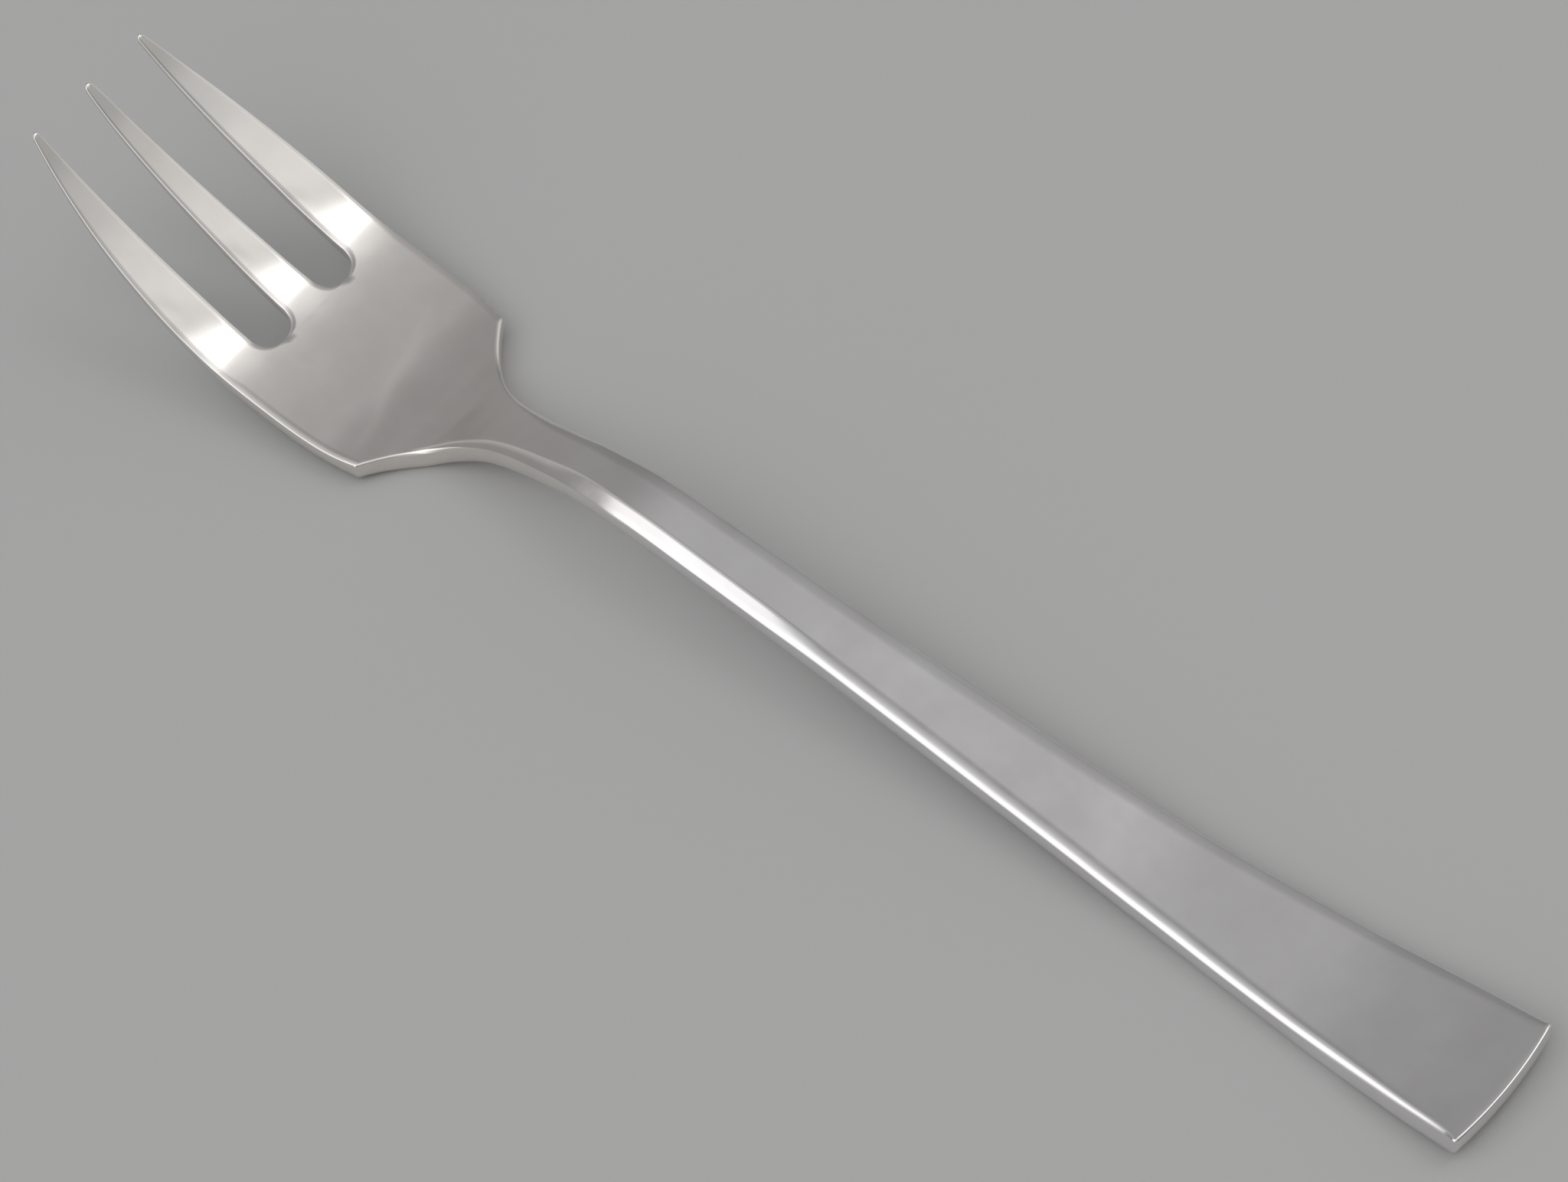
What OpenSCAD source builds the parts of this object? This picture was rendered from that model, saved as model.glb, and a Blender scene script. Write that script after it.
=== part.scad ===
// Pastry fork lying face up on a table, three equal tines, flat head, flared handle.
// The whole fork is one forged piece: every edge is rolled over, the slots are open right through.
// X runs from the tine tips to the handle end, Y across, Z up, and the table is at zero height.
// The origin is on the table under the middle of the length.

/* [Overall] */
// Length over all, tine tips to handle end
fork_len = 150; // [110:1:200]
// Height of the underside at the tine tips above the table
tip_rise = 17.5; // [8:0.1:24]
// Distance from the tips back to the heel that rests on the table
heel_at = 40.1; // [36:0.1:48]
// Height of the underside at the top of the arch behind the neck
arch_rise = 5.6; // [2:0.05:9]
// Depth of the flats worn on the underside where the fork rests
rest_wear = 0.05; // [0.01:0.01:0.12]

/* [Head] */
// Width of the head where it is widest
head_w = 21; // [17:0.1:26]
// Distance from the tips to the widest place
head_wide_at = 26.5; // [25:0.1:32]
// Distance from the tips to the shoulder corners
shoulder_at = 37; // [34:0.1:40]
// Width between the two shoulder corners
shoulder_w = 19.3; // [14:0.1:24]

/* [Tines] */
// Length of the slots from the tips to their round ends
slot_len = 23.8; // [16:0.1:25]
// Width of a slot just before its round end
slot_w = 3.94; // [2.5:0.02:5]
// Distance of a slot's middle line from the middle of the fork, at its round end
slot_off = 3.95; // [3:0.01:5]
// Distance of an outer tip from the middle of the fork
tip_off = 6.6; // [5:0.05:8.5]
// Width of a tine at its blunt tip
tip_w = 0.68; // [0.4:0.02:1.2]

/* [Neck and handle] */
// Width of the neck at its narrowest
neck_w = 5.24; // [3.5:0.02:8]
// Distance from the tips to the narrowest place of the neck
neck_at = 51.6; // [46:0.1:60]
// Width of the handle at its end
end_w = 13.28; // [9:0.02:18]
// How far the end edge bows out beyond its corners
end_bow = 0.45; // [0:0.05:1.5]

/* [Thickness] */
// Thickness of a tine at its tip
tip_t = 0.9; // [0.6:0.05:1.5]
// Thickness at the roots of the tines
root_t = 1.5; // [1:0.05:2.5]
// Thickness of the head between the slots and the shoulders
head_t = 1.6; // [1:0.05:3]
// Distance from the tips to where the head begins to thicken towards the neck
swell_at = 33; // [30:0.1:36]
// Thickness of the neck
neck_t = 3; // [2:0.05:4.5]
// Thickness of the handle
handle_t = 2.4; // [1.4:0.05:3.5]

/* [Edges] */
// Width of the rolled edge along the tines and the head
head_edge = 0.5; // [0.2:0.05:0.9]
// Width of the rolled edge behind the neck, where it is widest
handle_edge = 1.5; // [0.5:0.05:1.6]

/* [Hidden] */
// Steps from one face to the other around a rolled edge
roll_steps = 6;
// Steps along a tine before the round end of its slot
tine_steps = 13;
// Steps around a quarter of the round end of a slot
round_steps = 6;
// Steps along the head between the slots and the shoulder corners
head_steps = 8;
// Steps along the sweep from the shoulder to the neck
sweep_steps = 16;
// Steps along the handle
handle_steps = 34;

// Stations of the underside between the tips and the heel
front_at_shares = [0, 0.1, 0.25, 0.46, 0.55, 0.7, 0.85, 0.95, 1];
// Heights there against the rise of the tips
front_up_shares = [1, 0.799, 0.553, 0.278, 0.184, 0.108, 0.057, 0.017, 0];
// Stations of the underside between the heel and the handle end
back_at_shares = [0.028, 0.055, 0.11, 0.15, 0.195, 0.266, 0.36, 0.495, 0.615, 0.706, 0.78, 0.84, 0.936, 1];
// Heights there against the rise of the arch
back_up_shares = [0.195, 0.428, 0.745, 0.941, 1, 0.897, 0.736, 0.464, 0.233, 0.07, 0.018, 0, 0.094, 0.212];
// Stations along the handle from the neck to its end
flare_at_shares = [0, 0.05, 0.1, 0.18, 0.28, 0.385, 0.49, 0.67, 0.755, 0.84, 0.95, 1];
// Gain in width there against the whole flare
flare_gain_shares = [0, 0.019, 0.076, 0.108, 0.143, 0.204, 0.295, 0.501, 0.646, 0.801, 0.97, 1];
// Part of the swelling that is reached midway to the neck
swell_share = 0.83;
// Stations of the rolled edge along the handle, and its width midway up the sweep and at each
edge_at_shares = [0.14, 0.4, 0.9, 1];
edge_shares = [0.5, 1, 0.67, 0.6, 0.33];
// How far its upper half is flattened into a bevel there
bevel_shares = [0.3, 0.55, 0.3, 0.2, 0.1];
// Places across the head and the handle where the faces are set out
across_shares = [-1, -0.69, -0.378, 0, 0.378, 0.69, 1];
// Rounding of the handle's corners against its width
corner_share = 0.048;
// Part of a tip's width that is left at the very end
tip_end_share = 0.65;
// Length of a tip's rounding and of its blunt nose against its width
tip_round_share = 0.45;
tip_nose_share = 0.15;
// Widest part of a tine that its two rolled edges may take together
roll_share = 0.62;
// Powers of the plain curves: outer tine edge, side of the head, shoulder sweep, inner tine edges
outer_power = 2.7;
side_power = 3.6;
sweep_power = 3.28;
inner_power = 0.6;

// Powers that crowd the stations towards the tips and the shoulder corners
tine_grading = 1.35;
sweep_grading = 1.5;

silver = [0.78, 0.78, 0.77];

// Slope of the chords on both sides of point i, as a weighted mean, zero where the values turn
function chord(xs, ys, i) = (ys[i + 1] - ys[i]) / (xs[i + 1] - xs[i]);
function turn_slope(a, b) = a * b <= 0 ? 0 : 2 * a * b / (a + b);
function slope_at(xs, ys, i) =
    i == 0 ? chord(xs, ys, 0)
    : i == len(xs) - 1 ? chord(xs, ys, i - 1)
    : turn_slope(chord(xs, ys, i - 1), chord(xs, ys, i));

// Number of the span that holds x
function span_of(xs, x, i = 0) = i >= len(xs) - 2 || x < xs[i + 1] ? i : span_of(xs, x, i + 1);

// Smooth curve through the given points, which never overshoots them
function smooth(xs, ys, x, i) =
    let (w = xs[i + 1] - xs[i], u = min(1, max(0, (x - xs[i]) / w)))
    ys[i] * (1 + 2 * u) * (1 - u) * (1 - u)
    + ys[i + 1] * u * u * (3 - 2 * u)
    + w * slope_at(xs, ys, i) * u * (1 - u) * (1 - u)
    - w * slope_at(xs, ys, i + 1) * u * u * (1 - u);
function curve(xs, ys, x) = smooth(xs, ys, x, span_of(xs, x));

// Height of the underside above the table, before it is worn flat where the fork rests
line_at = concat(
    [for (share = front_at_shares) share * heel_at],
    [for (share = back_at_shares) heel_at + share * (fork_len - heel_at)]);
line_up = concat(
    [for (share = front_up_shares) share * tip_rise],
    [for (share = back_up_shares) share * arch_rise]);
function line_z(x) = curve(line_at, line_up, x) - rest_wear;

// Thickness along the fork
thick_at = [0, slot_len, swell_at, (swell_at + neck_at) / 2, neck_at, (neck_at + fork_len) / 2, fork_len];
thick_by = [tip_t, root_t, head_t, head_t + swell_share * (neck_t - head_t), neck_t, handle_t, handle_t];
function thick(x) = curve(thick_at, thick_by, x);

// Half width along the outer edge
function side_y(x) =
    x < head_wide_at
    ? head_w / 2 - (head_w / 2 - tip_off - tip_w / 2) * pow(1 - x / head_wide_at, outer_power)
    : x < shoulder_at
    ? head_w / 2 - (head_w - shoulder_w) / 2
        * pow((x - head_wide_at) / (shoulder_at - head_wide_at), side_power)
    : x < neck_at
    ? neck_w / 2 + (shoulder_w - neck_w) / 2
        * pow((neck_at - x) / (neck_at - shoulder_at), sweep_power)
    : neck_w / 2 + (end_w - neck_w) / 2
        * curve(flare_at_shares, flare_gain_shares, (x - neck_at) / (fork_len - neck_at));

// The slots before their round ends: half width of the middle tine and inner edge of an outer tine
slot_r = slot_w / 2;
round_at = slot_len - slot_r;
function grow(x) = pow(min(1, x / round_at), inner_power);
function mid_y(x) = tip_w / 2 + (slot_off - slot_r - tip_w / 2) * grow(x);
function inner_y(x) = tip_off - tip_w / 2 + (slot_off + slot_r - tip_off + tip_w / 2) * grow(x);

// Stations along a tine from its tip to the round end of the slot, and turns around that end
tine_at = [for (i = [0 : tine_steps]) tip_round_share * tip_w
    + (round_at - tip_round_share * tip_w) * pow(i / tine_steps, tine_grading)];
round_turns = [for (i = [1 : round_steps - 1]) 90 * i / round_steps];
function round_x(turn) = round_at + slot_r * sin(turn);
function round_y(turn) = slot_r * cos(turn);

// Stations of the outer edge beside the round end, up to behind the rolled edge at the slot's end
root_at = slot_len + head_edge;
function beside(turn) = round_at + (root_at - round_at) * turn / 90;

// Rounding of the handle's corners, and the turns around it up to the end edge
corner_r = corner_share * end_w;
corner_turns = [30, 60, 90];

// Stations along the head and the handle
body_at = concat(
    [for (i = [1 : head_steps]) root_at + (shoulder_at - root_at) * i / head_steps],
    [for (i = [1 : sweep_steps])
        shoulder_at + (neck_at - shoulder_at) * pow(i / sweep_steps, sweep_grading)],
    [for (i = [1 : handle_steps])
        neck_at + (fork_len - end_bow - corner_r - neck_at) * i / handle_steps]);

// Rows of plan points: a row is [x, y] pairs from the near side to the far side
function tip_row(c) = [
    [tip_w * tip_nose_share, c - tip_end_share * tip_w / 2],
    [0, c],
    [tip_w * tip_nose_share, c + tip_end_share * tip_w / 2]];
function tine_row(a, b) = [a, (a + b) / 2, b];
near_tine = concat(
    [tip_row(-tip_off)],
    [for (x = tine_at) tine_row([x, -side_y(x)], [x, -inner_y(x)])],
    [for (turn = round_turns) tine_row(
        [beside(turn), -side_y(beside(turn))],
        [round_x(turn), -slot_off - round_y(turn)])]);
mid_tine = concat(
    [tip_row(0)],
    [for (x = tine_at) tine_row([x, -mid_y(x)], [x, mid_y(x)])],
    [for (turn = round_turns) tine_row(
        [round_x(turn), round_y(turn) - slot_off],
        [round_x(turn), slot_off - round_y(turn)])]);
far_tine = concat(
    [tip_row(tip_off)],
    [for (x = tine_at) tine_row([x, inner_y(x)], [x, side_y(x)])],
    [for (turn = round_turns) tine_row(
        [round_x(turn), slot_off + round_y(turn)],
        [beside(turn), side_y(beside(turn))])]);

root_half = side_y(root_at);
root_row = [
    [root_at, -root_half],
    [root_at, -(root_half + slot_off) / 2],
    [slot_len, -slot_off],
    [root_at, 0],
    [slot_len, slot_off],
    [root_at, (root_half + slot_off) / 2],
    [root_at, root_half]];
corner_rows = [for (turn = corner_turns)
    [for (k = across_shares)
        [fork_len - end_bow * k * k - corner_r * (1 - sin(turn)),
        k * (end_w / 2 - corner_r * (1 - cos(turn)))]]];
body = concat(
    [root_row],
    [for (x = body_at) [for (k = across_shares) [x, k * side_y(x)]]],
    corner_rows);

tine_last = len(near_tine) - 1;
body_last = len(body) - 1;

// The outline as one loop: [row set, row, place], 0 to 2 for the tines and 3 for the body
loop = concat(
    [for (j = [0 : body_last - 1]) [3, j, 6]],
    [for (i = [6 : -1 : 0]) [3, body_last, i]],
    [for (j = [body_last - 1 : -1 : 0]) [3, j, 0]],
    [for (j = [tine_last : -1 : 1]) [0, j, 0]],
    [for (i = [0 : 2]) [0, 0, i]],
    [for (j = [1 : tine_last]) [0, j, 2]],
    [[3, 0, 2]],
    [for (j = [tine_last : -1 : 1]) [1, j, 0]],
    [for (i = [0 : 2]) [1, 0, i]],
    [for (j = [1 : tine_last]) [1, j, 2]],
    [[3, 0, 4]],
    [for (j = [tine_last : -1 : 1]) [2, j, 0]],
    [for (i = [0 : 2]) [2, 0, i]],
    [for (j = [1 : tine_last]) [2, j, 2]]);
sets = [near_tine, mid_tine, far_tine, body];
count = len(loop);
plan = [for (p = loop) sets[p[0]][p[1]][p[2]]];

// Direction into the metal at every loop point
function unit(v) = v / norm(v);
inward = [for (i = [0 : count - 1])
    let (d = unit(plan[(i + 1) % count] - plan[i]) + unit(plan[i] - plan[(i + count - 1) % count]))
    unit([d[1], -d[0]])];

// Width of the rolled edge at x, limited by the tine there
function tine_half(x) = min(mid_y(x), (side_y(x) - inner_y(x)) / 2);
function roll(x) =
    x < round_at
    ? min(head_edge, roll_share * max(tip_end_share * tip_w / 2, tine_half(x)))
    : curve(roll_at, roll_by, x);
roll_at = concat(
    [0, shoulder_at, (shoulder_at + neck_at) / 2],
    [for (share = edge_at_shares) neck_at + share * (fork_len - neck_at)]);
roll_by = concat([head_edge, head_edge], [for (share = edge_shares) share * handle_edge]);
bevel_by = concat([0, 0], bevel_shares);

// One ring of the rolled edge: turn is -90 on the underside, 0 at the outline and 90 on top
function inset(x, turn) =
    let (flat = turn > 0 ? curve(roll_at, bevel_by, x) : 0)
    roll(x) * ((1 - flat) * (1 - cos(turn)) + flat * sin(turn));
function rolled(i, turn) = face_point(plan[i] + inward[i] * inset(plan[i][0], turn), sin(turn));

// Point of the skin over a plan point: s is -1 on the underside, worn flat at the table, and 1 on top
function face_point(p, s) =
    let (low = max(0, line_z(p[0])), high = line_z(p[0]) + thick(p[0]))
    [p[0], p[1], low + (high - low) * (1 + s) / 2];
rings = [for (k = [0 : roll_steps]) [for (i = [0 : count - 1]) rolled(i, 180 * k / roll_steps - 90)]];

// Places in the loop of the two ends of a row
function spot(set, row, place) =
    [for (i = [0 : count - 1]) if (loop[i] == [set, row, place]) i][0];
function inner_place(set, row) = set == 3 ? [for (i = [1 : 5]) i] : [1];

// Face points that are not on the loop, between two loop points of their row
function open_rows(set) = set == 3 ? [0 : body_last - 1] : [1 : tine_last];
function is_loop(set, row, place) = set == 3 && row == 0 && (place == 2 || place == 4);
function first_place(set, row, place) = set == 3 && row == 0 ? place - place % 2 : 0;
function last_place(set, row, place) = set < 3 ? 2 : row == 0 ? place - place % 2 + 2 : 6;
function left_share(row, first, last, place) =
    (row[place][1] - row[first][1]) / (row[last][1] - row[first][1]);
inner_list = [for (set = [0 : 3]) for (row = open_rows(set))
    for (place = inner_place(set, row)) if (!is_loop(set, row, place)) [set, row, place]];
function inner_point(q, ring, s) =
    let (
        first = first_place(q[0], q[1], q[2]),
        last = last_place(q[0], q[1], q[2]),
        a = rings[ring][spot(q[0], q[1], first)],
        b = rings[ring][spot(q[0], q[1], last)],
        p = a + (b - a) * left_share(sets[q[0]][q[1]], first, last, q[2]))
    face_point([p[0], p[1]], s);
bottom_inner = [for (q = inner_list) inner_point(q, 0, -1)];
top_inner = [for (q = inner_list) inner_point(q, roll_steps, 1)];

points = concat([for (ring = rings) each ring], bottom_inner, top_inner);

// Number of the point at a place of a row, on the top face or the underside
inner_count = len(inner_list);
function inner_index(set, row, place) =
    [for (i = [0 : inner_count - 1]) if (inner_list[i] == [set, row, place]) i][0];
function on_loop(set, row, place) =
    set == 3
    ? row == body_last || place == 0 || place == 6 || is_loop(set, row, place)
    : row == 0 || place != 1;
function number(set, row, place, top) =
    on_loop(set, row, place)
    ? spot(set, row, place) + (top ? roll_steps * count : 0)
    : (roll_steps + 1) * count + (top ? inner_count : 0) + inner_index(set, row, place);
function row_numbers(set, row, top) =
    [for (place = [0 : len(sets[set][row]) - 1]) number(set, row, place, top)];

// Two triangles for every four points, wound for the top or for the underside
function quads(a, b, top) = [for (i = [0 : len(a) - 2]) each
    top
    ? [[a[i], a[i + 1], b[i + 1]], [a[i], b[i + 1], b[i]]]
    : [[a[i], b[i + 1], a[i + 1]], [a[i], b[i], b[i + 1]]]];
function strip(rows, top) = [for (j = [0 : len(rows) - 2]) each quads(rows[j], rows[j + 1], top)];
function tine_rows(set, top) =
    let (root = row_numbers(3, 0, top))
    concat(
        [for (row = [0 : tine_last]) row_numbers(set, row, top)],
        [[root[2 * set], root[2 * set + 1], root[2 * set + 2]]]);
function face(top) = concat(
    strip([for (row = [0 : body_last]) row_numbers(3, row, top)], top),
    [for (set = [0 : 2]) each strip(tine_rows(set, top), top)]);
wall = [for (k = [0 : roll_steps - 1]) for (i = [0 : count - 1]) each
    let (j = (i + 1) % count, a = k * count, b = a + count)
    [[a + i, b + j, b + i], [a + i, a + j, b + j]]];

module fork() {
    color(silver)
    translate([-fork_len / 2, 0, 0])
    polyhedron(points = points, faces = concat(wall, face(true), face(false)));
}

fork();
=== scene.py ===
import math

import bpy
import numpy as np
from mathutils import Matrix, Vector


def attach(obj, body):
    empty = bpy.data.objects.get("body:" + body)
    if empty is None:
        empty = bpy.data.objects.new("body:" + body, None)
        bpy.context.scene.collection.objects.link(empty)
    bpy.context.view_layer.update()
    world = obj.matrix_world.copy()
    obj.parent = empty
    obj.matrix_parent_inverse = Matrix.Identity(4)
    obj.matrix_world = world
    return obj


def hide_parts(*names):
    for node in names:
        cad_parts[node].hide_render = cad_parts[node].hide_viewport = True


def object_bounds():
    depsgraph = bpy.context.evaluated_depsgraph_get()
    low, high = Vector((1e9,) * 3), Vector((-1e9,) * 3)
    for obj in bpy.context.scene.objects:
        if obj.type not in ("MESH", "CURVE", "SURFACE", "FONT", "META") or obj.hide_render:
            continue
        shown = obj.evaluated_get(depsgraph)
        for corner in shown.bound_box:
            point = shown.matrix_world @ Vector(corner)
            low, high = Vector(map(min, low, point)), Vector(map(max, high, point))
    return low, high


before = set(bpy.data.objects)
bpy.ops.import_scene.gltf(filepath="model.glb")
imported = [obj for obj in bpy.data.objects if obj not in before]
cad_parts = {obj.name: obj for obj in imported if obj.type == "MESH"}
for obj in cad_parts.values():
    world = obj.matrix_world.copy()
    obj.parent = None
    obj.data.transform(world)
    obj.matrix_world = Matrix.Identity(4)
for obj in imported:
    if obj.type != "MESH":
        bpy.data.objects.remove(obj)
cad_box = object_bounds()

MM = 0.001

# Sizes of the fork in millimetres, the same as in the CAD source
LENGTH = 150.0
TIP_RISE = 17.5
HEEL_AT = 40.1
ARCH_RISE = 5.6
REST_WEAR = 0.05
HEAD_W = 21.0
HEAD_WIDE_AT = 26.5
SHOULDER_AT = 37.0
SHOULDER_W = 19.3
SLOT_LEN = 23.8
SLOT_W = 3.94
SLOT_OFF = 3.95
TIP_OFF = 6.6
TIP_W = 0.68
NECK_W = 5.24
NECK_AT = 51.6
END_W = 13.28
END_BOW = 0.45
HEAD_EDGE = 0.5
HANDLE_EDGE = 1.5
SWELL_AT = 33.0
TIP_T = 0.9
ROOT_T = 1.5
HEAD_T = 1.6
NECK_T = 3.0
HANDLE_T = 2.4

# Shapes that follow those sizes
SLOT_R = SLOT_W / 2
ROUND_AT = SLOT_LEN - SLOT_R
CORNER = 0.048 * END_W
TINE_POWER = 2.7
HEAD_POWER = 3.6
SWEEP_POWER = 3.28
SLOT_POWER = 0.6
TIP_START = 0.45 * TIP_W
TIP_BOW = 0.15 * TIP_W
TIP_SHARE = 0.65
FINE_SHARE = 0.62

# Thickness along the fork, and the line of its underside before and behind the heel
SWELL_T = HEAD_T + 0.83 * (NECK_T - HEAD_T)
THICK_AT = [0, SLOT_LEN, SWELL_AT, (SWELL_AT + NECK_AT) / 2, NECK_AT, (NECK_AT + LENGTH) / 2, LENGTH]
THICK_BY = [TIP_T, ROOT_T, HEAD_T, SWELL_T, NECK_T, HANDLE_T, HANDLE_T]
FRONT_AT = [0, 0.1, 0.25, 0.46, 0.55, 0.7, 0.85, 0.95, 1]
FRONT_UP = [1, 0.799, 0.553, 0.278, 0.184, 0.108, 0.057, 0.017, 0]
BACK_AT = [0.028, 0.055, 0.11, 0.15, 0.195, 0.266, 0.36, 0.495, 0.615, 0.706, 0.78, 0.84, 0.936, 1]
BACK_UP = [0.195, 0.428, 0.745, 0.941, 1, 0.897, 0.736, 0.464, 0.233, 0.07, 0.018, 0, 0.094, 0.212]
LINE_AT = [s * HEEL_AT for s in FRONT_AT] + [HEEL_AT + s * (LENGTH - HEEL_AT) for s in BACK_AT]
LINE_UP = [s * TIP_RISE for s in FRONT_UP] + [s * ARCH_RISE for s in BACK_UP]

# How the handle widens from neck to end, and how broad its rolled edge is
FLARE_AT = [0, 0.05, 0.1, 0.18, 0.28, 0.385, 0.49, 0.67, 0.755, 0.84, 0.95, 1]
FLARE_GAIN = [0, 0.019, 0.076, 0.108, 0.143, 0.204, 0.295, 0.501, 0.646, 0.801, 0.97, 1]
EDGE_AT = [0.14, 0.4, 0.9, 1]
EDGE = [0.5, 1, 0.67, 0.6, 0.33]
ROLL_AT = [0, SHOULDER_AT, (SHOULDER_AT + NECK_AT) / 2] + [NECK_AT + s * (LENGTH - NECK_AT) for s in EDGE_AT]
ROLL_BY = [HEAD_EDGE, HEAD_EDGE] + [s * HANDLE_EDGE for s in EDGE]

# How finely the visible skin is set out
UNDER_STEPS = 6
TINE_STEPS = 60
TINE_CROWDING = 1.35
ROUND_STEPS = 14
HEAD_STEPS = 52
SWEEP_STEPS = 60
SWEEP_CROWDING = 1.5
HANDLE_STEPS = 130
CORNER_TURN = 22.5
TINE_COLUMNS = 9

# The polished edge above its widest line: how far it reaches over the face, and its outline
# as shares of that reach and of half the thickness, at stations along the fork
WORN_AT = [0, 37, 44.3, 56, 66, 76, 90, 130, 146, 148.8, 149.5, 150]
WORN_BY = [0.16, 0.2, 0.85, 1.45, 1.65, 1.6, 1.6, 1.35, 0.95, 0.65, 0.3, 0.25]
FAR_AT = [34, 38, 42, 50]
FAR_BY = [1, 0.4, 0.4, 1]
SOFT = [(0, 1), (0.02, 0.74), (0.045, 0.58), (0.085, 0.44), (0.17, 0.31), (0.25, 0.23), (0.35, 0.175),
        (0.47, 0.122), (0.61, 0.074), (0.78, 0.033), (1, 0)]
LEDGE = [(0, 1), (0.02, 0.74), (0.053, 0.58), (0.1, 0.46), (0.167, 0.38), (0.233, 0.33), (0.333, 0.28),
         (0.5, 0.21), (0.667, 0.14), (0.833, 0.07), (1, 0)]
BLUNT = [(0, 1), (0.09, 0.71), (0.23, 0.46), (0.36, 0.275), (0.455, 0.183), (0.527, 0.125), (0.6, 0.083),
         (0.68, 0.054), (0.77, 0.033), (0.88, 0.012), (1, 0)]
CRISP = [(0, 1), (0.004, 0.7), (0.01, 0.45), (0.02, 0.26), (0.034, 0.154), (0.134, 0.104), (0.293, 0.061),
         (0.4, 0.043), (0.5, 0.028), (0.741, 0.0071), (1, 0)]
OUTLINE_AT = [0, 52, 58, 76, 84, 125, 148.7, 149.6]
NEAR_OUTLINES = [SOFT, SOFT, LEDGE, LEDGE, SOFT, SOFT, BLUNT, CRISP]
FAR_OUTLINES = [SOFT] * 7 + [CRISP]

# Wear of the face: how far its line is eased, in steps of EASE_STEP, and shallow dents and ridges
# as place, lean of the place across the fork, height, and the two half lengths
EASE, EASE_STEP = 0.5, 0.05
PAD, SLOPE_OVER = 40, 10
DENTS = [(18.4, -8.2, 0.35, -0.085, 1.8, 3.0), (18.4, 0, 0.3, -0.085, 1.8, 3.0),
         (18.4, 8.2, 0.3, -0.085, 1.8, 3.0), (15.4, -9.4, 0.5, -0.03, 1.0, 0.9),
         (16.2, -1.3, 0.5, -0.03, 0.9, 0.7), (16.4, 6.5, 0.5, -0.03, 0.9, 0.7),
         (22.4, -8.0, 0, 0.022, 1.4, 1.6), (22.4, 0, 0, 0.022, 1.4, 1.6), (22.4, 8.0, 0, 0.022, 1.4, 1.6)]
# The low step across the head: place, lean, half height, half length, and middle and half width
STEP_AT, STEP_LEAN, STEP_UP, STEP_LONG, STEP_OFF, STEP_WIDE = 33.4, 0.31, 0.018, 0.45, -2, 8

# Colour of the silver: tone of its cloudy film, and a painted reflection tint along the fork from tips to end,
# warmer over the head and neck
FILM = [(0.3, (0.80, 0.79, 0.775)), (0.7, (0.87, 0.865, 0.855))]
REFLECTION_TINT = [(0.0, (1.0, 0.99, 0.985)), (0.14, (1.005, 0.99, 0.98)), (0.18, (1.01, 0.985, 0.96)),
        (0.31, (1.015, 0.984, 0.948)), (0.38, (1.01, 0.985, 0.97)), (0.46, (1.0, 0.99, 1.01)),
        (1.0, (1.0, 0.99, 1.01))]
# Fine scratches: turn, how often along and across them, and strength
SCRATCHES = [(0.06, 260.0, 9000.0, 0.05), (-0.5, 420.0, 7000.0, 0.03), (0.9, 500.0, 8000.0, 0.02)]

# The room around the fork, as light over direction: 0 to 1 runs from -X to +X, or from -Y to +Y.
# The room's light along and across the fork
ALONG = [(0.0, 0.29), (0.24, 0.29), (0.285, 0.31), (0.315, 0.34), (0.35, 0.41), (0.375, 0.45), (0.40, 0.44),
         (0.425, 0.46), (0.445, 0.60), (0.475, 0.80), (0.665, 0.80), (0.69, 0.85), (0.71, 0.82), (0.73, 0.73),
         (0.755, 0.68), (0.78, 0.61), (0.80, 0.56), (0.845, 0.42), (0.90, 0.34), (1.0, 0.28)]
ACROSS = [(0.0, 0.50), (0.25, 0.50), (0.50, 0.55), (0.56, 0.62), (0.62, 0.75), (0.665, 0.98), (0.68, 1.0),
          (0.72, 1.0), (0.80, 0.84), (0.90, 0.80), (1.0, 0.70)]
# The window that the roots of the tines show
WINDOW_ALONG = [(0.475, 0.0), (0.505, 0.32), (0.53, 0.95), (0.625, 0.95), (0.645, 0.25), (0.665, 0.0)]
WINDOW_ACROSS = [(0.25, 0.50), (0.50, 0.55), (0.56, 0.62), (0.62, 0.75), (0.665, 0.98), (0.68, 1.0),
                 (0.72, 1.0), (0.77, 0.85), (0.81, 0.0)]
# The long pane on the near side, which the handle's near edge shows
PANE_ALONG = [(0.215, 0.0), (0.24, 0.70), (0.275, 1.0), (0.45, 1.0), (0.55, 0.5), (0.70, 0.2), (1.0, 0.1)]
PANE_ACROSS = [(0.0, 0.1), (0.05, 0.2), (0.11, 0.7), (0.17, 1.15), (0.31, 1.15), (0.38, 0.95), (0.415, 0.45),
               (0.445, 0.35), (0.48, 0.27), (0.515, 0.20), (0.575, 0.0)]
# The lit wall behind the tines, which the neck shows
WALL_ALONG = [(0.20, 0.15), (0.27, 0.07), (0.31, 0.0)]
WALL_ACROSS = [(0.40, 0.9), (0.52, 1.6), (0.61, 1.7), (0.66, 0.0)]

FLOOR_TONE = (0.575, 0.577, 0.577, 1)


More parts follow.
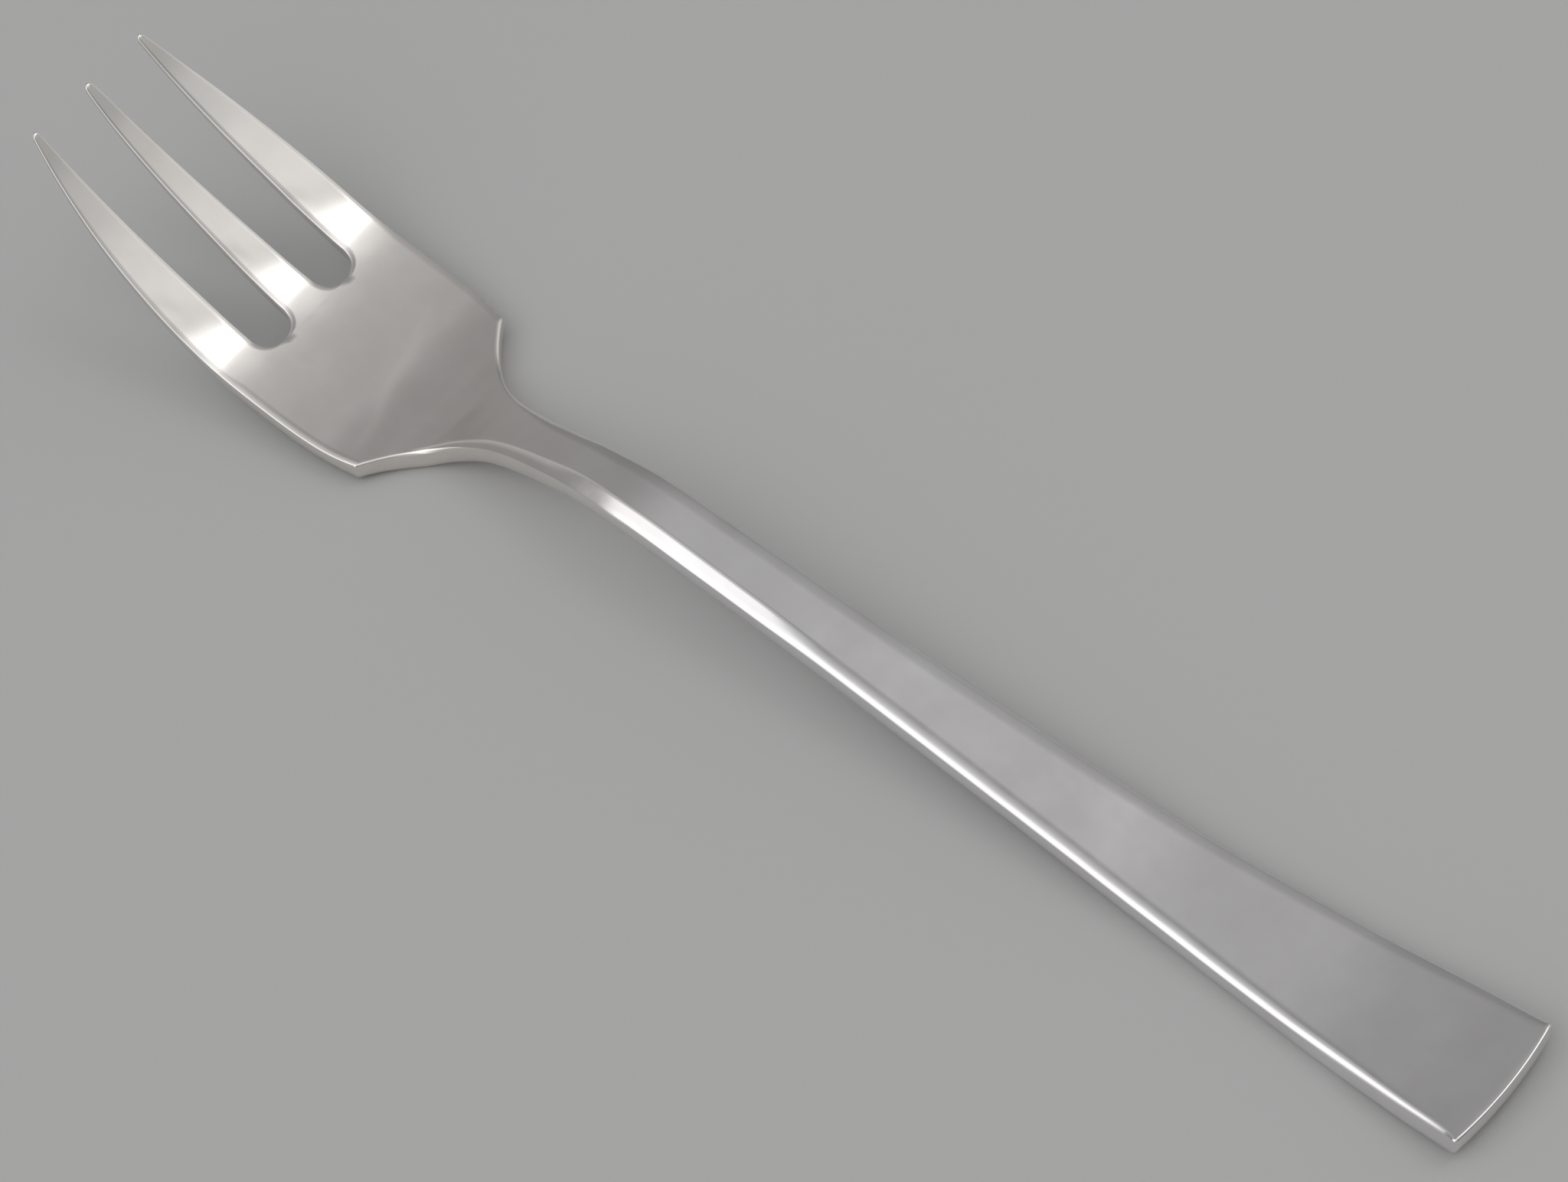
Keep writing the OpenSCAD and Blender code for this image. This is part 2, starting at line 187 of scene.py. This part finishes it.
def curve(xs, ys, x):
    """Smooth curve through the points, which never overshoots them."""
    xs, ys = np.array(xs, float), np.array(ys, float)
    x = np.asarray(x, float)
    chord = np.diff(ys) / np.diff(xs)
    slope = np.empty(len(xs))
    slope[0], slope[-1] = chord[0], chord[-1]
    for i in range(1, len(xs) - 1):
        a, b = chord[i - 1], chord[i]
        slope[i] = 0 if a * b <= 0 else 2 * a * b / (a + b)
    i = np.clip(np.searchsorted(xs, x, side="right") - 1, 0, len(xs) - 2)
    w = xs[i + 1] - xs[i]
    u = np.clip((x - xs[i]) / w, 0, 1)
    return (ys[i] * (1 + 2 * u) * (1 - u) ** 2 + ys[i + 1] * u * u * (3 - 2 * u)
            + w * slope[i] * u * (1 - u) ** 2 - w * slope[i + 1] * u * u * (1 - u))


def line(x):
    """Height of the underside before it is worn flat where the fork rests."""
    return curve(LINE_AT, LINE_UP, x) - REST_WEAR


def side(x):
    """Half width along the outer edge."""
    x = np.asarray(x, float)
    u = np.clip(1 - x / HEAD_WIDE_AT, 0, 1)
    tine = HEAD_W / 2 - (HEAD_W / 2 - TIP_OFF - TIP_W / 2) * u ** TINE_POWER
    u = np.clip((x - HEAD_WIDE_AT) / (SHOULDER_AT - HEAD_WIDE_AT), 0, 1)
    head = HEAD_W / 2 - (HEAD_W - SHOULDER_W) / 2 * u ** HEAD_POWER
    u = np.clip((NECK_AT - x) / (NECK_AT - SHOULDER_AT), 0, 1)
    sweep = NECK_W / 2 + (SHOULDER_W - NECK_W) / 2 * u ** SWEEP_POWER
    u = np.clip((x - NECK_AT) / (LENGTH - NECK_AT), 0, 1)
    handle = NECK_W / 2 + (END_W - NECK_W) / 2 * curve(FLARE_AT, FLARE_GAIN, u)
    body = np.where(x < SHOULDER_AT, head, np.where(x < NECK_AT, sweep, handle))
    return np.where(x < HEAD_WIDE_AT, tine, body)


def mid(x):
    """Half width of the middle tine before the round ends of the slots."""
    return TIP_W / 2 + (SLOT_OFF - SLOT_R - TIP_W / 2) * np.minimum(1, x / ROUND_AT) ** SLOT_POWER


def inner(x):
    """Inner edge of an outer tine before the round end of its slot."""
    start = TIP_OFF - TIP_W / 2
    return start + (SLOT_OFF + SLOT_R - start) * np.minimum(1, x / ROUND_AT) ** SLOT_POWER


def tine_edge(x, limit):
    """Width of a tine's edge: never over the limit, nor over a share of the tine's half width."""
    half = np.minimum(mid(x), (side(x) - inner(x)) / 2)
    return np.minimum(limit, FINE_SHARE * np.maximum(TIP_SHARE * TIP_W / 2, half))


def roll(x):
    """Width of the rolled edge."""
    return np.where(x < ROUND_AT, tine_edge(x, HEAD_EDGE), curve(ROLL_AT, ROLL_BY, x))


def worn(p):
    """How far the polished edge reaches over the face at outline points p."""
    x = p[:, 0]
    body = curve(WORN_AT, WORN_BY, x) * np.where(p[:, 1] > 0, curve(FAR_AT, FAR_BY, x), 1)
    return np.where(x < ROUND_AT, tine_edge(x, WORN_BY[0]), body)


def dents(p):
    """Height of the shallow dents, ridges and step that use and polishing leave in the face."""
    x, y = p[:, 0], p[:, 1]
    up = 0
    for at, off, lean, height, long, wide in DENTS:
        along = (x - at - lean * (y - off)) / long
        up = up + height * np.exp(-along ** 2 - ((y - off) / wide) ** 4)
    step = (x - STEP_AT + STEP_LEAN * y - 0.2 * np.sin(0.9 * y)) / STEP_LONG
    return up - STEP_UP * np.tanh(step) * np.exp(-((y - STEP_OFF) / STEP_WIDE) ** 4)


def smooth_top():
    """Height of the face along the fork, eased as polishing leaves it, and carried on straight past both ends."""
    margin = PAD * EASE_STEP
    x = np.arange(-margin, LENGTH + margin + EASE_STEP, EASE_STEP)
    inside = np.clip(x, 0, LENGTH)
    z = line(inside) + curve(THICK_AT, THICK_BY, inside)
    run = SLOPE_OVER * EASE_STEP
    z += np.where(x < 0, x * (z[PAD + SLOPE_OVER] - z[PAD]) / run, 0)
    z += np.where(x > LENGTH, (x - LENGTH) * (z[-PAD - SLOPE_OVER] - z[-PAD - 2 * SLOPE_OVER]) / run, 0)
    reach = np.arange(-PAD, PAD + 1)
    weight = np.exp(-0.5 * (reach * EASE_STEP / EASE) ** 2)
    return x[PAD:-PAD], np.convolve(z, weight / weight.sum(), "valid")


TOP = smooth_top()


def face_points(p, s):
    """Points of the skin over plan points p: s is -1 on the underside and 1 on top."""
    low = np.maximum(0, line(p[:, 0]))
    high = np.interp(p[:, 0], *TOP) + dents(p)
    return np.column_stack([p, low + (high - low) * (1 + s) / 2])


def tine_rows(t):
    """Rows of plan points of a tine, from its tip to the round ends of the slots: t is -1, 0 or 1 along +Y."""
    n = TINE_COLUMNS
    u = np.linspace(-1, 1, n)
    rows = [np.column_stack([TIP_BOW * u ** 2, t * TIP_OFF + TIP_SHARE * TIP_W / 2 * u])]
    for i in range(TINE_STEPS + 1):
        x = TIP_START + (ROUND_AT - TIP_START) * (i / TINE_STEPS) ** TINE_CROWDING
        a, b = (-side(x), -inner(x)) if t < 0 else (-mid(x), mid(x)) if t == 0 else (inner(x), side(x))
        rows.append(np.column_stack([np.full(n, x), np.linspace(a, b, n)]))
    root_at = SLOT_LEN + HEAD_EDGE
    for i in range(1, ROUND_STEPS):
        turn = math.pi / 2 * i / ROUND_STEPS
        slot_x, slot_y = ROUND_AT + SLOT_R * math.sin(turn), SLOT_R * math.cos(turn)
        edge_x = ROUND_AT + (root_at - ROUND_AT) * turn * 2 / math.pi
        edge = float(side(edge_x))
        if t < 0:
            ends = (edge_x, -edge), (slot_x, -SLOT_OFF - slot_y)
        elif t > 0:
            ends = (slot_x, SLOT_OFF + slot_y), (edge_x, edge)
        else:
            ends = (slot_x, slot_y - SLOT_OFF), (slot_x, SLOT_OFF - slot_y)
        rows.append(np.linspace(*ends, n))
    return rows


def body_rows():
    """Rows of plan points of the body, from the slots to the handle end."""
    n = TINE_COLUMNS
    root_at = SLOT_LEN + HEAD_EDGE
    reach = float(side(root_at))
    inner_share = SLOT_OFF / reach
    cross = np.concatenate([np.linspace(-1, -inner_share, n), np.linspace(-inner_share, inner_share, n)[1:],
                            np.linspace(inner_share, 1, n)[1:]])
    root = np.column_stack([np.full(len(cross), root_at), cross * reach])
    root[[n - 1, 2 * n - 2], 0] = SLOT_LEN
    at = [root_at + (SHOULDER_AT - root_at) * i / HEAD_STEPS for i in range(1, HEAD_STEPS + 1)]
    at += [SHOULDER_AT + (NECK_AT - SHOULDER_AT) * (i / SWEEP_STEPS) ** SWEEP_CROWDING
           for i in range(1, SWEEP_STEPS + 1)]
    at += list(NECK_AT + (LENGTH - END_BOW - CORNER - NECK_AT) * np.arange(1, HANDLE_STEPS + 1) / HANDLE_STEPS)
    rows = [root] + [np.column_stack([np.full(len(cross), x), cross * side(x)]) for x in at]
    for turn in np.radians(np.arange(CORNER_TURN, 91, CORNER_TURN)):
        rows.append(np.column_stack([LENGTH - END_BOW * cross ** 2 - CORNER * (1 - math.sin(turn)),
                                     cross * (END_W / 2 - CORNER * (1 - math.cos(turn)))]))
    return rows


def inward_ways(plan):
    """Directions into the metal along the outline, eased over about the width of the edge."""
    ahead = np.roll(plan, -1, 0) - plan
    step = np.linalg.norm(ahead, axis=1)
    ahead /= step[:, None]
    way = ahead + np.roll(ahead, 1, 0)
    way = np.column_stack([way[:, 1], -way[:, 0]])
    way /= np.linalg.norm(way, axis=1)[:, None]
    along = np.concatenate([[0], np.cumsum(step)[:-1]])
    around = step.sum()
    share = (step + np.roll(step, 1)) / 2
    eased = []
    for at, width in zip(along, 0.5 * np.maximum(roll(plan[:, 0]), worn(plan))):
        gap = np.abs(along - at)
        weight = np.exp(-0.5 * (np.minimum(gap, around - gap) / width) ** 2) * share
        eased.append(weight @ way)
    eased = np.array(eased)
    return eased / np.linalg.norm(eased, axis=1)[:, None]


def outline_loop(sets):
    """The closed outline of the fork as (set, row, column) of its plan points."""
    n, m = TINE_COLUMNS, len(sets[3][0])
    tine_last, body_last = len(sets[0]) - 1, len(sets[3]) - 1
    loop = [(3, j, m - 1) for j in range(body_last)]
    loop += [(3, body_last, i) for i in reversed(range(m))]
    loop += [(3, j, 0) for j in reversed(range(body_last))]
    for t in range(3):
        if t:
            loop.append((3, 0, t * (n - 1)))
        loop += [(t, j, 0) for j in range(tine_last, 0, -1)]
        loop += [(t, 0, i) for i in range(n)]
        loop += [(t, j, n - 1) for j in range(1, tine_last + 1)]
    return loop


def edge_rings(plan):
    """Rings around the edge, from the underside up to the face, and their points on the skin."""
    x, far = plan[:, 0], plan[:, 1] > 0
    inward = inward_ways(plan)
    rings, points = [], []
    for k in range(UNDER_STEPS):
        turn = math.pi / 2 * (k / UNDER_STEPS - 1)
        rings.append(plan + inward * (roll(x) * (1 - math.cos(turn)))[:, None])
        points.append(face_points(rings[-1], math.sin(turn)))
    for near_stations, far_stations in zip(zip(*NEAR_OUTLINES), zip(*FAR_OUTLINES)):
        share, drop = (np.where(far, curve(OUTLINE_AT, [pair[i] for pair in far_stations], x),
                                curve(OUTLINE_AT, [pair[i] for pair in near_stations], x)) for i in (0, 1))
        rings.append(plan + inward * (worn(plan) * share)[:, None])
        points.append(face_points(rings[-1], 1 - drop))
    return rings, points


def fork_mesh():
    """Points and faces of the fork: the rings of its edge, then the underside, then the face."""
    sets = [tine_rows(-1), tine_rows(0), tine_rows(1), body_rows()]
    n, m = TINE_COLUMNS, len(sets[3][0])
    tine_last, body_last = len(sets[0]) - 1, len(sets[3]) - 1
    loop = outline_loop(sets)
    place = {key: i for i, key in enumerate(loop)}
    count = len(loop)
    rings, points = edge_rings(np.array([sets[s][j][i] for s, j, i in loop]))
    steps = len(rings) - 1
    total = len(rings) * count
    faces = []
    for k in range(steps):
        for i in range(count):
            j = (i + 1) % count
            a, b = k * count, (k + 1) * count
            faces.append((a + i, b + i, b + j, a + j))
    for top in (False, True):
        ring, s, base = (rings[-1], 1, steps * count) if top else (rings[0], -1, 0)
        number, extra = {}, []
        for t, rows in enumerate(sets):
            width = m if t == 3 else n
            for j, row in enumerate(rows):
                for i in range(width):
                    key = (t, j, i)
                    if key in place:
                        number[key] = base + place[key]
                        continue
                    first, last = 0, width - 1
                    if t == 3 and j == 0:
                        first = (i // (n - 1)) * (n - 1)
                        last = first + n - 1
                    a, b = ring[place[(t, j, first)]], ring[place[(t, j, last)]]
                    share = (row[i][1] - row[first][1]) / (row[last][1] - row[first][1])
                    number[key] = total + len(extra)
                    extra.append(a + (b - a) * share)
        points.append(face_points(np.array(extra), s))
        total += len(extra)
        strips = [[[number[(3, j, i)] for i in range(m)] for j in range(body_last + 1)]]
        for t in range(3):
            rows = [[number[(t, j, i)] for i in range(n)] for j in range(tine_last + 1)]
            rows.append([number[(3, 0, t * (n - 1) + i)] for i in range(n)])
            strips.append(rows)
        for rows in strips:
            for a, b in zip(rows, rows[1:]):
                for i in range(len(a) - 1):
                    quad = (a[i], b[i], b[i + 1], a[i + 1])
                    faces.append(quad if top else quad[::-1])
    verts = np.concatenate(points)
    verts[:, 0] -= LENGTH / 2
    return verts * MM, faces


def build_fork():
    """The silver fork as one smooth mesh, kept inside the CAD's box."""
    verts, faces = fork_mesh()
    verts = np.clip(verts, *np.array(cad_box))
    mesh = bpy.data.meshes.new("silver_fork")
    mesh.from_pydata(verts.tolist(), [], faces)
    mesh.update()
    mesh.shade_smooth()
    obj = bpy.data.objects.new("silver_fork", mesh)
    bpy.context.scene.collection.objects.link(obj)
    return obj


def node(tree, kind, **values):
    """A shader node with the given inputs and settings."""
    made = tree.nodes.new(kind)
    for key, value in values.items():
        if key in made.inputs:
            made.inputs[key].default_value = value
        else:
            setattr(made, key, value)
    return made


def noise(tree, coords, **values):
    """Noise over those coordinates."""
    made = node(tree, "ShaderNodeTexNoise", **values)
    tree.links.new(coords, made.inputs["Vector"])
    return made.outputs["Fac"]


def span(tree, source, **ends):
    """The source's range moved to another."""
    made = node(tree, "ShaderNodeMapRange", **{key.replace("_", " "): value for key, value in ends.items()})
    tree.links.new(source, made.inputs["Value"])
    return made.outputs["Result"]


def ramp(tree, stops, source):
    """Colour or grey over the source, through stops of place and value."""
    made = tree.nodes.new("ShaderNodeValToRGB")
    tree.links.new(source, made.inputs["Fac"])
    items = made.color_ramp.elements
    while len(items) < len(stops):
        items.new(0.5)
    for item, (at, value) in zip(items, stops):
        item.position = at
        colour = value if isinstance(value, tuple) else (value, value, value)
        item.color = (*colour, 1)
    return made.outputs["Color"]


def mix(tree, kind, a, b):
    """Two colours added or multiplied."""
    both = node(tree, "ShaderNodeMix", data_type="RGBA", blend_type=kind)
    both.inputs["Factor"].default_value = 1.0
    tree.links.new(a, both.inputs["A"])
    tree.links.new(b, both.inputs["B"])
    return both.outputs["Result"]


def bump(tree, height, previous, strength, distance):
    """A bump on top of the previous one."""
    made = node(tree, "ShaderNodeBump", Strength=strength, Distance=distance)
    tree.links.new(height, made.inputs["Height"])
    if previous:
        tree.links.new(previous, made.inputs["Normal"])
    return made.outputs["Normal"]


def silver():
    """Polished silver with a cloudy film, a painted reflection tint along the fork, fine scratches and a faint
    waviness.
    """
    mat = bpy.data.materials.new("silver")
    mat.use_nodes = True
    tree = mat.node_tree
    bsdf = tree.nodes["Principled BSDF"]
    bsdf.inputs["Metallic"].default_value = 1.0
    link = tree.links.new
    coords = tree.nodes.new("ShaderNodeTexCoord").outputs["Object"]
    parts = tree.nodes.new("ShaderNodeSeparateXYZ")
    link(coords, parts.inputs["Vector"])
    along = span(tree, parts.outputs["X"], From_Min=-LENGTH / 2 * MM, From_Max=LENGTH / 2 * MM)
    cloud = noise(tree, coords, Scale=140.0, Detail=4.0, Roughness=0.6)
    # Base colour: the film's random tone times the painted reflection tint along the fork
    link(mix(tree, "MULTIPLY", ramp(tree, FILM, cloud), ramp(tree, REFLECTION_TINT, along)), bsdf.inputs["Base Color"])
    smear = noise(tree, coords, Scale=420.0, Detail=6.0, Roughness=0.7)
    link(span(tree, smear, From_Min=0.25, From_Max=0.75, To_Min=0.13, To_Max=0.21), bsdf.inputs["Roughness"])
    normal = None
    for turn, length, width, strength in SCRATCHES:
        mapping = node(tree, "ShaderNodeMapping")
        mapping.inputs["Rotation"].default_value = (0, 0, turn)
        mapping.inputs["Scale"].default_value = (length, width, width)
        link(coords, mapping.inputs["Vector"])
        hair = noise(tree, mapping.outputs["Vector"], Scale=1.0, Detail=3.0, Roughness=0.65)
        normal = bump(tree, hair, normal, strength, 0.00002)
    wave = noise(tree, coords, Scale=170.0, Detail=1.0, Roughness=0.4)
    link(bump(tree, wave, normal, 0.35, 0.00012), bsdf.inputs["Normal"])
    return mat


def floor_material():
    """Plain pale matt floor."""
    mat = bpy.data.materials.new("floor")
    mat.use_nodes = True
    bsdf = mat.node_tree.nodes["Principled BSDF"]
    bsdf.inputs["Base Color"].default_value = FLOOR_TONE
    bsdf.inputs["Roughness"].default_value = 0.85
    bsdf.inputs["Specular IOR Level"].default_value = 0.2
    return mat


def build_floor():
    """The floor that the fork lies on."""
    bpy.ops.mesh.primitive_plane_add(size=6.0, location=(0, 0, 0))
    obj = bpy.context.object
    obj.name = "floor"
    obj.data.materials.append(floor_material())


def warmed(stops):
    """The light from the handle's side is a little warmer than the light from the tines' side."""
    made = []
    for at, value in stops:
        warm = min(1, max(0, (at - 0.38) / 0.12))
        made.append((at, (value, value * (1 - 0.012 * warm), value * (1.012 - 0.045 * warm))))
    return made


def build_world():
    """Soft room light with a window, a long pane and a lit wall."""
    world = bpy.data.worlds.new("room")
    bpy.context.scene.world = world
    world.use_nodes = True
    tree = world.node_tree
    back = tree.nodes["Background"]
    coords = tree.nodes.new("ShaderNodeTexCoord").outputs["Generated"]
    parts = tree.nodes.new("ShaderNodeSeparateXYZ")
    tree.links.new(coords, parts.inputs["Vector"])
    x, y = (span(tree, parts.outputs[axis], From_Min=-1.0, From_Max=1.0) for axis in "XY")

    def lit(along, across):
        return mix(tree, "MULTIPLY", ramp(tree, along, x), ramp(tree, across, y))

    light = mix(tree, "ADD", lit(warmed(ALONG), ACROSS), lit(WINDOW_ALONG, WINDOW_ACROSS))
    light = mix(tree, "ADD", light, lit(PANE_ALONG, PANE_ACROSS))
    light = mix(tree, "ADD", light, lit(WALL_ALONG, WALL_ACROSS))
    tree.links.new(light, back.inputs["Color"])
    back.inputs["Strength"].default_value = 1.0


def build_camera():
    """The photograph's camera, as right, up and back, and its place in millimetres."""
    data = bpy.data.cameras.new("camera")
    data.sensor_width = 36.0
    data.lens = 120.62
    obj = bpy.data.objects.new("camera", data)
    right = Vector((0.76812, 0.63361, -0.09236))
    up = Vector((-0.49553, 0.67958, 0.54094))
    back = Vector((0.40550, -0.36974, 0.83598))
    turn = Matrix((right, up, back)).transposed().to_4x4()
    obj.matrix_world = Matrix.Translation(Vector((177.598, -159.732, 369.020)) * MM) @ turn
    bpy.context.scene.collection.objects.link(obj)
    bpy.context.scene.camera = obj


fork = build_fork()
fork.data.materials.append(silver())
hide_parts("fork")
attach(fork, "root")
build_floor()
build_world()
build_camera()
bpy.context.scene.view_settings.view_transform = "Standard"
